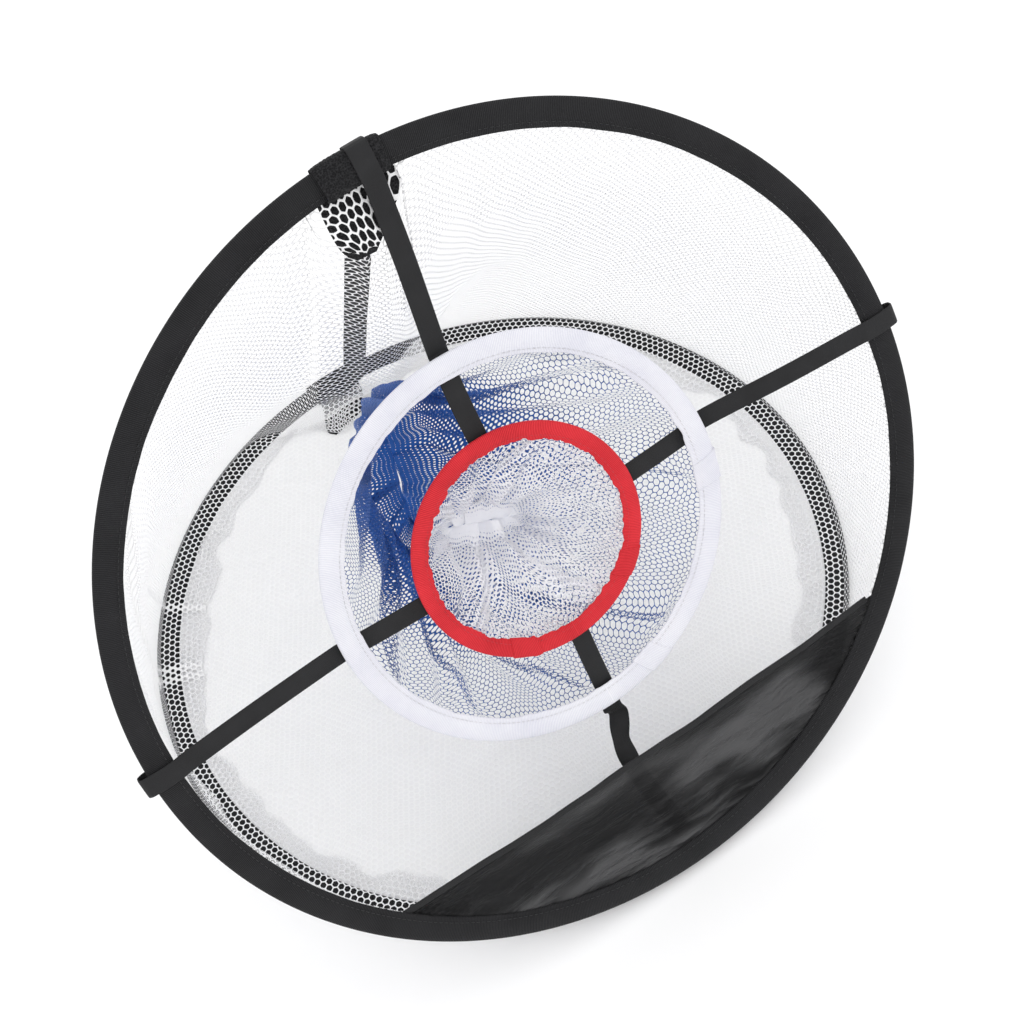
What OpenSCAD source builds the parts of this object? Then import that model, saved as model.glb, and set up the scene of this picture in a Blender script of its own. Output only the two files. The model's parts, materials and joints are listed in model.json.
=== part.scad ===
// Golf chipping net: a base hoop on the ground, a tilted front hoop hinged to its
// front edge, two ring targets hung in the front hoop, mesh pockets behind them,
// a mesh wall between the hoops, and a folding strut at the back.
// X is to the golfer's right, -Y is towards the golfer, +Z is up, Z = 0 is the ground.

/* [Hoops] */
// Radius of the middle of each hoop's band
hoop_r = 252; // [200:1:300]
// Width of the fabric band round each hoop
band_w = 17; // [14:0.5:20]
// Thickness of the fabric band
band_t = 5.6; // [5:0.1:7]
// Diameter of the hoops' spring-steel wire
wire_d = 3.2; // [2.4:0.1:3.6]
// Angle between the ground and the front hoop
tilt = 60; // [50:1:66]
// Gap in a wire hoop that its ferrule closes, in degrees
wire_gap = 2; // [1:0.5:4]

/* [Targets] */
// Outer radius of the middle target ring
middle_r = 131; // [120:1:140]
// Width of the middle ring's band
middle_band = 15.5; // [12:0.5:18]
// Outer radius of the inner target ring
inner_r = 75; // [65:1:80]
// Width of the inner ring's band
inner_band = 11.5; // [10:0.5:13]
// Thickness of the ring bands
ring_t = 4.6; // [4.2:0.1:5.4]
// Wire diameter in the target rings
ring_wire_d = 2.4; // [1.8:0.1:2.6]
// How far the rings hang behind the front hoop's plane
ring_back = 21; // [16:1:28]
// How far the rings hang below the front hoop's centre
ring_sag = 3; // [0:0.5:6]

/* [Straps] */
// Width of the strap ribbon
strap_w = 13; // [10:0.5:16]
// Thickness of the strap ribbon
strap_t = 1; // [0.8:0.1:1.2]
// How far the side straps' loops stand out past the hoop
strap_ear = 5; // [3:0.5:7]

/* [Apron and nets] */
// Height of the cloth apron above the bottom of the front hoop's opening
apron_h = 80; // [60:1:100]
// Thickness of the apron cloth
apron_t = 0.8; // [0.6:0.1:1]
// Thickness allowed for the mesh
net_t = 1.2; // [1:0.1:2]
// Depth of the middle ring's pocket behind the rings
outer_pocket_depth = 120; // [100:5:130]
// Depth of the inner ring's pocket behind the rings
inner_pocket_depth = 78; // [60:2:84]

/* [Strut] */
// Width of the strut's fabric sleeve
strut_w = 19; // [16:0.5:22]
// Thickness of the strut's sleeve
strut_t = 6; // [5.6:0.1:7]
// Diameter of the strut's rod
rod_d = 4; // [3:0.1:4.2]
// Width of the hook-and-loop patches along the hoops
patch_w = 40; // [34:1:46]
// Thickness of a hook-and-loop patch
patch_t = 1.6; // [1.2:0.1:1.8]
// Length of the top patch's flap, in front of the strut's top
flap_len = 44; // [30:1:60]
// Width of the two patches' flaps
flap_w = 34; // [30:1:38]
// Length of the foot patch's flap, which lies on the floor net
foot_flap_len = 38; // [20:1:50]

/* [Hidden] */
$fn = 96;
gap = 0.3;                       // clearance between separate pieces
fit = 0.05;                      // clearance of a wire in its ferrule or channel
ferrule_wall = 0.5;
edge_r = band_t * 0.45;          // rounding of a hoop band's edges
ring_edge_r = ring_t * 0.45;
inside_r = hoop_r - band_w / 2;  // edge of a hoop's opening
outside_r = hoop_r + band_w / 2;
middle_mid = middle_r - middle_band / 2;
inner_mid = inner_r - inner_band / 2;

// The front hoop's lowest band section rests on the base hoop's front, so its centre is
// moved up and forward by this much along the direction midway between the two bands.
hinge_lift = (band_t / 2 + band_w / 2 * sin(tilt) + band_t / 2 * cos(tilt) + gap) * 0.98;
hinge_out = hinge_lift * 0.62;
reach_front = hoop_r + hinge_out + band_w / 2 * cos(tilt) + band_t / 2 * sin(tilt) - edge_r * 0.366;
reach_back = outside_r + gap + patch_t;
base_y = (reach_front - reach_back) / 2;  // puts the whole model's box on the origin
hinge_y = base_y - hoop_r - hinge_out;
hinge_z = band_t / 2 + hinge_lift;
ring_v = hoop_r - ring_sag;

// Strut ends in the side plane: the foot pivot, and the top behind the hoop's patch.
strut_x = 14;                     // the strut stands a little to one side of the patches' middle
foot_y = base_y + hoop_r - 17;
foot_z = band_t + gap + patch_t + gap + norm([strut_t, strut_t]) / 2 + 0.6;
top_v = 2 * hoop_r + 1;
top_w = -(band_t / 2 + gap + patch_t + strut_t / 2 + 3);
top_y = hinge_y + top_v * cos(tilt) - top_w * sin(tilt);
top_z = hinge_z + top_v * sin(tilt) + top_w * cos(tilt);
strut_len = norm([top_y - foot_y, top_z - foot_z]);
strut_lean = atan2(top_z - foot_z, top_y - foot_y);

// Front hoop's frame: origin on the hinge line, +Y up along the hoop, +Z to the golfer.
module in_front() translate([0, hinge_y, hinge_z]) rotate([tilt, 0, 0]) children();
module at_hoop_centre() in_front() translate([0, hoop_r, 0]) children();
module at_rings() in_front() translate([0, ring_v, -ring_back]) children();
module at_base() translate([0, base_y, band_t / 2]) children();
// Strut's frame: origin on the foot pivot, +Z along the strut.
module in_strut() translate([strut_x, foot_y, foot_z]) rotate([strut_lean - 90, 0, 0]) children();

// Flat band section with rounded edges, centred on the origin.
module band_section(w, t, r) {
  square([w - 2 * r, t], center = true);
  square([w, t - 2 * r], center = true);
  for (sx = [-1, 1], sy = [-1, 1])
    translate([sx * (w / 2 - r), sy * (t / 2 - r)]) circle(r, $fn = 32);
}

// Fabric band folded round a wire hoop, with a channel that the wire runs in.
module band_ring(mid, w, t, r, channel_d)
  rotate_extrude($fn = 180)
    translate([mid, 0])
      difference() {
        band_section(w, t, r);
        circle(d = channel_d, $fn = 32);
      }

// Wire bent into a hoop. Its ends meet at the given angle, inside a ferrule.
module wire_ring(mid, d, at_angle)
  rotate([0, 0, at_angle + wire_gap / 2])
    rotate_extrude(angle = 360 - wire_gap, $fn = 180)
      translate([mid, 0]) circle(d = d, $fn = 32);

module ferrule(mid, d, at_angle)
  rotate([0, 0, at_angle - 2.5])
    rotate_extrude(angle = 5, $fn = 180)
      translate([mid, 0])
        difference() {
          circle(d = d + 2 * fit + 2 * ferrule_wall, $fn = 32);
          circle(d = d + 2 * fit, $fn = 32);
        }

function channel(d) = d + 4 * fit + 2 * ferrule_wall;

// Outline of a ribbon: the given points pushed half a thickness to each side.
function unit(a) = a / norm(a);
function left_of(a) = [-a[1], a[0]];
function side_dir(p, i) =
  let (n = len(p),
       before = i == 0 ? unit(p[1] - p[0]) : unit(p[i] - p[i - 1]),
       after = i == n - 1 ? before : unit(p[i + 1] - p[i]),
       mean = unit(left_of(before) + left_of(after)))
  mean / max(0.5, mean * left_of(after));
function outline(p, t) = concat(
  [for (i = [0 : len(p) - 1]) p[i] + side_dir(p, i) * t / 2],
  [for (i = [len(p) - 1 : -1 : 0]) p[i] - side_dir(p, i) * t / 2]);

// Ribbon whose run is drawn as distance from the ring centre and height off the hoop's plane,
// turned to the given direction round the hoop and shifted sideways.
module ribbon(points, direction, shift = 0)
  rotate([0, 0, direction])
    translate([0, strap_w / 2 + shift, 0])
      rotate([90, 0, 0])
        linear_extrude(strap_w) polygon(outline(points, strap_t));

behind_ring = -ring_back - ring_t / 2 - gap - strap_t / 2;
strap_end = inner_mid - 1;       // straps end behind the inner ring
ring_edge = middle_r + 4;        // straps level off here, just outside the middle ring
skin = band_t / 2 + gap + strap_t / 2;

// Side strap: hooks round the back of the hoop's band, over its front, then in to the rings.
function side_strap_run() = [
  [hoop_r - 1, -skin], [outside_r + strap_ear - 2, -skin], [outside_r + strap_ear, -skin * 0.4],
  [outside_r + strap_ear, skin * 0.4], [outside_r + strap_ear - 2, skin], [inside_r - 2, skin],
  [inside_r - 12, skin - 3], [ring_edge, behind_ring], [strap_end, behind_ring]
];
// Top strap: the same over the thicker hook-and-loop patch.
over_patch = skin + gap + patch_t;
function top_strap_run() = [
  [hoop_r - 4, -over_patch], [outside_r + patch_t + 1, -over_patch], [outside_r + patch_t + 2, -over_patch * 0.6],
  [outside_r + patch_t + 2, over_patch * 0.6], [outside_r + patch_t + 1, over_patch],
  [inside_r - patch_t - 1, over_patch], [inside_r - 12, over_patch - 4], [ring_edge, behind_ring],
  [strap_end, behind_ring]
];
// Bottom strap: sewn under the hoop's inner edge behind the apron, with a little slack.
function bottom_strap_run() = [
  [inside_r - 1, -band_t / 2 - 1], [inside_r - 30, -10], [inside_r - 62, -15],
  [ring_edge + 26, -31], [ring_edge + 6, behind_ring], [strap_end, behind_ring]
];

// Hook-and-loop patch wrapped round a band over a given angle. Its wrap is open underneath
// where the band touches the ground or where the wall net is sewn on.
module patch_wrap(angle_mid, closed) {
  half = patch_w / 2 / hoop_r * 180 / PI;
  rotate([0, 0, angle_mid - half])
    rotate_extrude(angle = 2 * half, $fn = 180)
      translate([hoop_r, 0])
        difference() {
          band_section(band_w + 2 * (gap + patch_t), band_t + 2 * (gap + patch_t), edge_r + patch_t);
          band_section(band_w + 2 * gap, band_t + 2 * gap, edge_r + gap);
          if (!closed)
            translate([-band_w, -band_t]) square([2 * band_w, band_t / 2 + edge_r * 0.5]);
        }
}

module base_hoop_wire() color("dimgray") at_base() wire_ring(hoop_r, wire_d, 180);
module base_hoop_ferrule() color("silver") at_base() ferrule(hoop_r, wire_d, 180);
module base_hoop_sleeve()
  color([0.12, 0.12, 0.13]) at_base() band_ring(hoop_r, band_w, band_t, edge_r, channel(wire_d));

floor_lift = 0.6;
notch_in = patch_t + 2 * gap + 1.5;  // clears the patch's arc and its rounded corners
module floor_net()
  color([0.93, 0.93, 0.94])
    difference() {
      translate([0, base_y, floor_lift]) cylinder(r = inside_r - gap, h = net_t);
      // Notched round the foot patch.
      translate([-patch_w / 2 - 1, base_y + inside_r - notch_in, 0]) cube([patch_w + 2, band_w, band_t]);
    }

// Mesh wall: it is sewn to the front hoop's inner edge and over the base hoop's band, and its
// slack turns up from the ground a little inside that band.
wall_r = inside_r + 2;
turn_up_r = inside_r - 12.5;
module wall_hull(front_r, low_r, front_w, base_z) hull() {
  in_front() translate([0, hoop_r, front_w]) cylinder(r = front_r, h = 0.1, $fn = 72);
  translate([0, base_y, base_z]) cylinder(r = low_r, h = 0.1, $fn = 72);
}
wall_front_w = -band_t / 2 - gap - 0.4;
wall_base_z = band_t + gap;
module net_wall()
  color([0.95, 0.95, 0.96])
    difference() {
      union() {
        difference() {
          wall_hull(wall_r, turn_up_r, wall_front_w, wall_base_z);
          wall_hull(wall_r - net_t, turn_up_r - net_t, wall_front_w + 1.4, wall_base_z - 1.4);
        }
        translate([0, base_y, wall_base_z])
          difference() {
            cylinder(r = hoop_r, h = net_t);
            translate([0, 0, -net_t]) cylinder(r = turn_up_r - net_t, h = 3 * net_t);
          }
      }
      // Open where the hoops come together, so that nothing is pinched at the hinge.
      translate([-hoop_r, hinge_y - 30, 0]) cube([2 * hoop_r, 62, 60]);
      // Notched round the hook-and-loop patches.
      at_hoop_centre() translate([-patch_w / 2 - 2, inside_r - 5, -2 * band_t]) cube([patch_w + 4, 30, 3 * band_t]);
      translate([-patch_w / 2 - 2, base_y + inside_r - 4, 0]) cube([patch_w + 4, 30, 2 * band_t]);
    }

// Folded tape on the inner edge of the base band, which the front hoop is sewn to and turns on.
tape_l = 28;
tape_t = 1;
tape_y = hinge_y + band_w / 2 + 1.6;
module hinge_tape()
  color([0.1, 0.1, 0.1])
    translate([-tape_l / 2, tape_y, band_t + gap]) {
      cube([tape_l, base_y - inside_r - tape_y, tape_t]);
      cube([tape_l, tape_t, 8]);
    }

// The foot patch has a flap that lies on the floor net under the mesh wall, turned a little.
flap_turn = 18;
module strut_foot_patch()
  color([0.08, 0.08, 0.08]) {
    at_base() patch_wrap(90, false);
    intersection() {
      translate([2, base_y + inside_r, floor_lift + net_t + gap])
        rotate([0, 0, -flap_turn])
          translate([-flap_w / 2, -foot_flap_len, 0]) cube([flap_w, foot_flap_len + band_w, patch_t]);
      translate([0, base_y, 0]) cylinder(r = inside_r - gap - patch_t / 4, h = band_t, $fn = 180);
    }
  }

module front_hoop_wire() color("dimgray") at_hoop_centre() wire_ring(hoop_r, wire_d, 0);
module front_hoop_ferrule() color("silver") at_hoop_centre() ferrule(hoop_r, wire_d, 0);
module front_hoop_sleeve()
  color([0.12, 0.12, 0.13])
    at_hoop_centre() band_ring(hoop_r, band_w, band_t, edge_r, channel(wire_d));

// Apron: the part of the hoop's opening below a straight edge.
hem_w = 4;
hem_t = 2.4;
apron_top = -inside_r + apron_h;
module below(v_low, v_high, h)
  translate([0, 0, -h / 2])
    linear_extrude(h)
      intersection() {
        circle(r = inside_r - gap, $fn = 180);
        translate([-inside_r, v_low]) square([2 * inside_r, v_high - v_low]);
      }
module apron() color([0.1, 0.1, 0.11]) at_hoop_centre() below(-inside_r, apron_top - hem_w - 0.05, apron_t);
module apron_hem() color([0.06, 0.06, 0.06]) at_hoop_centre() below(apron_top - hem_w, apron_top, hem_t);

module top_patch() color([0.08, 0.08, 0.08]) at_hoop_centre() patch_wrap(90, true);
// Flap that hangs from the back of the patch, in front of the strut's top end. It leans back a
// little, so that it passes behind the top strap.
flap_top = hoop_r - 5;
flap_lean = 9;
module top_patch_flap()
  color([0.08, 0.08, 0.08])
    at_hoop_centre()
      translate([-patch_w / 2, flap_top, -band_t / 2 - 2 * gap - 2 * patch_t])
        rotate([flap_lean, 0, 0])
          translate([0, -flap_len, 0]) cube([flap_w, flap_len, patch_t]);

module strap_top() color([0.1, 0.1, 0.1]) at_hoop_centre() ribbon(top_strap_run(), 90, -8);
module strap_bottom() color([0.1, 0.1, 0.1]) at_hoop_centre() ribbon(bottom_strap_run(), -90);
module strap_left() color([0.1, 0.1, 0.1]) at_hoop_centre() ribbon(side_strap_run(), 180, 0);
module strap_right() color([0.1, 0.1, 0.1]) at_hoop_centre() ribbon(side_strap_run(), 0, 0);

module middle_ring_wire() color("dimgray") at_rings() wire_ring(middle_mid, ring_wire_d, 200);
module middle_ring_ferrule() color("silver") at_rings() ferrule(middle_mid, ring_wire_d, 200);
module middle_ring_sleeve()
  color("white")
    at_rings() band_ring(middle_mid, middle_band, ring_t, ring_edge_r, channel(ring_wire_d));
module inner_ring_wire() color("dimgray") at_rings() wire_ring(inner_mid, ring_wire_d, 250);
module inner_ring_ferrule() color("silver") at_rings() ferrule(inner_mid, ring_wire_d, 250);
module inner_ring_sleeve()
  color([0.87, 0.16, 0.2])
    at_rings() band_ring(inner_mid, inner_band, ring_t, ring_edge_r, channel(ring_wire_d));

// Pocket: a mesh bag of revolution, open at the front and closed at the back.
module pocket(mouth, shoulder, waist, depth, start)
  rotate_extrude($fn = 72)
    polygon([
      [mouth, -start], [shoulder, -start - depth * 0.3], [waist, -start - depth * 0.8], [0, -start - depth],
      [0, -start - depth + net_t], [waist - net_t, -start - depth * 0.8 + net_t],
      [shoulder - net_t, -start - depth * 0.3], [mouth - net_t, -start]
    ]);
pocket_start = ring_t / 2 + 2 * gap + strap_t + 0.5;  // just behind the straps
module outer_pocket()
  color([0.15, 0.3, 0.65])
    at_rings() pocket(middle_mid, middle_mid - 8, 46, outer_pocket_depth, pocket_start);
module inner_pocket()
  color([0.9, 0.9, 0.95])
    at_rings() pocket(inner_mid, inner_mid - 6, 30, inner_pocket_depth, pocket_start);

// Strut: a rod in a flat fabric sleeve, with a moulded cap on each end of the rod.
cap_d = rod_d + 1.2;
cap_len = 14;
cap_seat = 1;                     // floor of a cap's socket
module strut_rod()
  color([0.3, 0.3, 0.3])
    in_strut() translate([0, 0, cap_seat]) cylinder(d = rod_d, h = strut_len - 2 * cap_seat, $fn = 32);
module rod_cap()
  difference() {
    cylinder(d = cap_d, h = cap_len, $fn = 32);
    translate([0, 0, cap_seat - fit]) cylinder(d = rod_d + 2 * fit, h = cap_len, $fn = 32);
  }
// The foot cap ends in a round nose centred on the pivot, which turns in the sewn foot pocket.
module strut_foot_cap()
  color([0.15, 0.15, 0.15])
    in_strut() {
      rod_cap();
      intersection() {
        rotate([0, 90, 0]) cylinder(d = cap_d, h = cap_d, center = true, $fn = 48);
        translate([0, 0, -cap_d / 2]) cylinder(d = cap_d, h = cap_d / 2 + cap_seat / 2, $fn = 32);
      }
    }
module strut_top_cap()
  color([0.15, 0.15, 0.15]) in_strut() translate([0, 0, strut_len]) mirror([0, 0, 1]) rod_cap();
module strut_sleeve()
  color([0.1, 0.1, 0.1])
    in_strut()
      linear_extrude(strut_len)
        difference() {
          band_section(strut_w, strut_t, strut_t * 0.45);
          circle(d = cap_d + 2 * fit, $fn = 32);
        }

base_hoop_wire();
base_hoop_ferrule();
base_hoop_sleeve();
floor_net();
net_wall();
hinge_tape();
strut_foot_patch();
front_hoop_wire();
front_hoop_ferrule();
front_hoop_sleeve();
apron();
apron_hem();
top_patch();
top_patch_flap();
strap_top();
strap_bottom();
strap_left();
strap_right();
middle_ring_wire();
middle_ring_ferrule();
middle_ring_sleeve();
inner_ring_wire();
inner_ring_ferrule();
inner_ring_sleeve();
outer_pocket();
inner_pocket();
strut_rod();
strut_sleeve();
strut_top_cap();
strut_foot_cap();
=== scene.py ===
import json
import math

import bmesh
import bpy
import numpy as np
from mathutils import Matrix, Vector, noise


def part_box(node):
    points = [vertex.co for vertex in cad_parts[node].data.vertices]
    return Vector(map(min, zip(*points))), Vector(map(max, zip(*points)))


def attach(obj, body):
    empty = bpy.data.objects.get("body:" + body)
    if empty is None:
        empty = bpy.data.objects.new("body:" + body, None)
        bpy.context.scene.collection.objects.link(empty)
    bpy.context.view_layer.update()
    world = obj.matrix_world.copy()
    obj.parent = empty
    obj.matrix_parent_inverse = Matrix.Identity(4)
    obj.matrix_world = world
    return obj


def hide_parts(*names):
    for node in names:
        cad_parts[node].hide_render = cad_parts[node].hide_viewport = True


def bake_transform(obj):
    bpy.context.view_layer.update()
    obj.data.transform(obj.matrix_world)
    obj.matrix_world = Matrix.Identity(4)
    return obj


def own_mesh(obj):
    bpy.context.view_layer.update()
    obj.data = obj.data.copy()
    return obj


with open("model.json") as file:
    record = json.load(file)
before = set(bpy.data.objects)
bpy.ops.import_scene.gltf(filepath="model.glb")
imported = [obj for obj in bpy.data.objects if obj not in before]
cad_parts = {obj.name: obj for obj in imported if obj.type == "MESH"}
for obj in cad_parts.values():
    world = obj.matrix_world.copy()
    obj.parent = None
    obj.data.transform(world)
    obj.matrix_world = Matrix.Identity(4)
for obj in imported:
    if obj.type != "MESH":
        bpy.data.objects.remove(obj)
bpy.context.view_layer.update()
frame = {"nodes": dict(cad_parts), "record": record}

# Golf chipping net. The frame gives the hoops and joints; this script makes the cloth, mesh,
# webbing and straps round them. Metres, Z up, the golfer stands at -Y.

MM = 0.001

# ---- places from the frame
JOINTS = {j["name"]: j for j in frame["record"]["behaviour"]["joints"]}
HINGE = np.array(JOINTS["front_fold"]["pos_m"], float)
OUT = np.array(JOINTS["target_swing"]["axis"], float)   # out of the front hoop, to the golfer
OUT /= np.linalg.norm(OUT)
UP = np.cross(OUT, [1.0, 0, 0])                         # up along the front hoop
TILT = math.atan2(UP[2], UP[1])
FOOT = np.array(JOINTS["strut_fold"]["pos_m"], float)

low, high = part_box("base_hoop_sleeve")
BASE_Y = (low.y + high.y) / 2
OUTSIDE = (high.x - low.x) / 2
BAND_T = high.z - low.z
BAND_W = 17 * MM
HOOP = OUTSIDE - BAND_W / 2
INSIDE = HOOP - BAND_W / 2

low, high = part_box("middle_ring_sleeve")
MIDDLE_OUT = (high.x - low.x) / 2
RING_CENTRE = np.array((low + high) / 2)
MIDDLE_W = 15.5 * MM
MIDDLE = MIDDLE_OUT - MIDDLE_W / 2
low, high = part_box("inner_ring_sleeve")
INNER_OUT = (high.x - low.x) / 2
INNER_W = 11.5 * MM
INNER = INNER_OUT - INNER_W / 2
RING_T = 4.6 * MM
BAND_SIDES = 28         # points round a band's section
STRAP_W = 13 * MM
STRAP_T = 0.9 * MM
HOOP_HOLD = 236 * MM    # a distance from the hoop's centre: add_strap makes a point there on the strap's side and does not use it
RING_HOLD = 138 * MM    # a second such distance, for the rings; its point is not used either
APRON_H = 80 * MM
NET_EDGE = INSIDE + 3 * MM
WALL_GAP = math.radians(13)     # half of the gap that the wall leaves at the hinge

FRONT_CENTRE = HINGE + HOOP * UP
RING_V = float((RING_CENTRE - FRONT_CENTRE) @ UP)
RING_W = float((RING_CENTRE - FRONT_CENTRE) @ OUT)
low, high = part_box("strut_rod")
STRUT_TOP = np.array([(low.x + high.x) / 2, low.y, high.z])
STRUT_LEN = float(np.linalg.norm(STRUT_TOP - FOOT))
STRUT_DIR = (STRUT_TOP - FOOT) / STRUT_LEN


def front(x, v, w):
    """Point of the shared frame, given along the front hoop's own axes from its centre."""
    x, v, w = np.broadcast_arrays(np.asarray(x, float), v, w)
    return FRONT_CENTRE + x[..., None] * [1.0, 0, 0] + v[..., None] * UP + w[..., None] * OUT


def ground(x, y, z):
    """Point of the shared frame, given from the base hoop's centre, with z above the ground."""
    x, y, z = np.broadcast_arrays(np.asarray(x, float), y, z)
    return np.stack([x, y + BASE_Y, z], -1)


# ---- camera, light and floor
CAMERA_AT = (-0.1770, -0.6510, 1.0704)
VIEW = Vector((0.1742, 0.5412, -0.8226)).normalized()
RIGHT = Vector((0.8285, -0.5320, -0.1746))


def add_object(name, data):
    obj = bpy.data.objects.new(name, data)
    bpy.context.collection.objects.link(obj)
    return obj


def add_camera():
    right = (RIGHT - VIEW * RIGHT.dot(VIEW)).normalized()
    up = right.cross(VIEW)
    data = bpy.data.cameras.new("camera")
    data.lens, data.sensor_width = 59.5, 36
    data.clip_start, data.clip_end = 0.02, 30
    cam = add_object("camera", data)
    cam.matrix_world = Matrix.Translation(CAMERA_AT) @ Matrix((right, up, -VIEW)).transposed().to_4x4()
    bpy.context.scene.camera = cam


def add_light(name, at, target, size, power):
    data = bpy.data.lights.new(name, "AREA")
    data.shape, data.size, data.energy = "DISK", size, power
    lamp = add_object(name, data)
    lamp.location = at
    lamp.rotation_euler = (Vector(target) - Vector(at)).to_track_quat("-Z", "Y").to_euler()


def add_world(strength):
    world = bpy.data.worlds.new("studio")
    bpy.context.scene.world = world
    world.use_nodes = True
    back = world.node_tree.nodes["Background"]
    back.inputs["Color"].default_value = (1, 1, 1, 1)
    back.inputs["Strength"].default_value = strength


# ---- node helpers
class Nodes:
    """Short calls for building a material's node tree."""

    def __init__(self, name):
        self.mat = bpy.data.materials.new(name)
        self.mat.use_nodes = True
        self.tree = self.mat.node_tree
        self.tree.nodes.clear()
        self.out = self.add("ShaderNodeOutputMaterial")

    def add(self, kind, **settings):
        node = self.tree.nodes.new(kind)
        for key, value in settings.items():
            setattr(node, key, value)
        return node

    def link(self, value, socket):
        if isinstance(value, bpy.types.NodeSocket):
            self.tree.links.new(value, socket)
        else:
            socket.default_value = value

    def math(self, op, a, b=0.0, c=0.0, clamp=False):
        node = self.add("ShaderNodeMath", operation=op, use_clamp=clamp)
        for value, socket in zip((a, b, c), node.inputs):
            self.link(value, socket)
        return node.outputs[0]

    def vec(self, op, a, b=(0, 0, 0), out=0):
        node = self.add("ShaderNodeVectorMath", operation=op)
        self.link(a, node.inputs[0])
        self.link(b, node.inputs[1])
        return node.outputs[out]

    def noise(self, where, scale, detail=3.0, rough=0.55, out="Fac"):
        node = self.add("ShaderNodeTexNoise")
        self.link(where, node.inputs["Vector"])
        node.inputs["Scale"].default_value = scale
        node.inputs["Detail"].default_value = detail
        node.inputs["Roughness"].default_value = rough
        return node.outputs[out]

    def ramp(self, value, low, high, to_low=0.0, to_high=1.0):
        node = self.add("ShaderNodeMapRange", interpolation_type="SMOOTHSTEP")
        for item, socket in zip((value, low, high, to_low, to_high), node.inputs):
            self.link(item, socket)
        return node.outputs[0]

    def mix(self, fac, a, b):
        node = self.add("ShaderNodeMix", data_type="RGBA")
        self.link(fac, node.inputs["Factor"])
        for value, socket in ((a, node.inputs[6]), (b, node.inputs[7])):
            self.link((*value, 1) if isinstance(value, tuple) else value, socket)
        return node.outputs[2]

    def bump(self, height, distance, strength=1.0, base=None):
        node = self.add("ShaderNodeBump")
        node.inputs["Distance"].default_value = distance
        node.inputs["Strength"].default_value = strength
        self.link(height, node.inputs["Height"])
        if base is not None:
            self.link(base, node.inputs["Normal"])
        return node.outputs[0]

    def uv(self):
        return self.add("ShaderNodeUVMap", uv_map="UVMap").outputs[0]

    def place(self):
        return self.add("ShaderNodeTexCoord").outputs["Object"]

    def scaled(self, vector, by):
        return self.vec("MULTIPLY", vector, (by, by, by))

    def sine(self, where, spacing):
        """Wave from -1 to 1 that repeats after each spacing."""
        return self.math("SINE", self.math("MULTIPLY", where, 2 * math.pi / spacing))

    def lift(self, wave):
        """A wave from -1 to 1, brought to 0 to 1."""
        return self.math("MULTIPLY_ADD", wave, 0.5, 0.5)

    def weigh(self, *terms):
        """Sum of the values, each times its share."""
        parts = [self.math("MULTIPLY", value, share) for value, share in terms]
        total = parts[0]
        for part in parts[1:]:
            total = self.math("ADD", total, part)
        return total

    def mix_shaders(self, share, first, second):
        node = self.add("ShaderNodeMixShader")
        for value, socket in zip((share, first, second), node.inputs):
            self.link(value, socket)
        return node.outputs[0]

    def over_clear(self, share, shader):
        """The shader where share is 1, nothing where it is 0."""
        return self.mix_shaders(share, self.add("ShaderNodeBsdfTransparent").outputs[0], shader)

    def split(self, vector):
        node = self.add("ShaderNodeSeparateXYZ")
        self.link(vector, node.inputs[0])
        return node.outputs

    def principled(self, **values):
        node = self.add("ShaderNodeBsdfPrincipled")
        for key, value in values.items():
            self.link((*value, 1) if key == "Base_Color" and isinstance(value, tuple) else value,
                      node.inputs[key.replace("_", " ")])
        return node.outputs[0]

    def finish(self, shader):
        self.tree.links.new(shader, self.out.inputs["Surface"])
        return self.mat


# ---- materials
def ribbed_webbing(name, dark, light, depth=0.28 * MM, sheen=0.0, pitch=1.05 * MM, rough=0.72):
    """Grosgrain: ribs across the tape, each made of fine threads along it. The colour is painted lighter on
    the ribs' tops and darker in the grooves between them (painted shade), and is lighter in random patches.
    """
    n = Nodes(name)
    uv = n.uv()
    along, across, _ = n.split(uv)
    wander = n.math("MULTIPLY", n.math("SUBTRACT", n.noise(uv, 60, 2), 0.5), 0.9)
    phase = n.math("ADD", n.math("MULTIPLY", along, 2 * math.pi / pitch), wander)
    rib = n.math("POWER", n.lift(n.math("SINE", phase)), 0.7)
    thread = n.lift(n.sine(across, 0.42 * MM))
    fuzz = n.noise(n.place(), 2600, 2)
    patches = n.noise(n.place(), 38, 4)
    # the rib term paints shade into the grooves and lightens the rib tops; patches and fuzz are random tone
    tone = n.weigh((rib, 0.45), (patches, 0.75), (fuzz, 0.25))
    colour = n.mix(n.ramp(tone, 0.25, 1.15), dark, light)
    height = n.weigh((rib, 1), (n.math("MULTIPLY", thread, rib), 0.35), (fuzz, 0.35))
    roughness = n.ramp(patches, 0.3, 0.7, rough - 0.08, rough + 0.1)
    return n.finish(n.principled(Base_Color=colour, Roughness=roughness, Normal=n.bump(height, depth),
                                 Sheen_Weight=sheen, Sheen_Roughness=0.45, Specular_IOR_Level=0.16))


def plain_ribbon(name, dark, light):
    """Smooth woven ribbon: a fine twill with a satin face."""
    n = Nodes(name)
    along, across, _ = n.split(n.uv())
    weft = n.sine(n.weigh((along, 1), (across, 0.35)), 0.55 * MM)
    weave = n.lift(n.math("MULTIPLY", weft, n.sine(across, 0.5 * MM)))
    patches = n.noise(n.place(), 55, 4)
    fuzz = n.noise(n.place(), 2400, 2)
    # the weave term paints the dips of the weave a little darker: painted shade; the patches are random tone
    colour = n.mix(n.ramp(n.weigh((weave, 0.3), (patches, 0.8)), 0.25, 0.95), dark, light)
    normal = n.bump(n.weigh((weave, 1), (fuzz, 0.5)), 0.1 * MM)
    return n.finish(n.principled(Base_Color=colour, Roughness=n.ramp(patches, 0.3, 0.7, 0.5, 0.68),
                                 Normal=normal, Sheen_Weight=0.04, Sheen_Roughness=0.4,
                                 Specular_IOR_Level=0.25))


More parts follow.
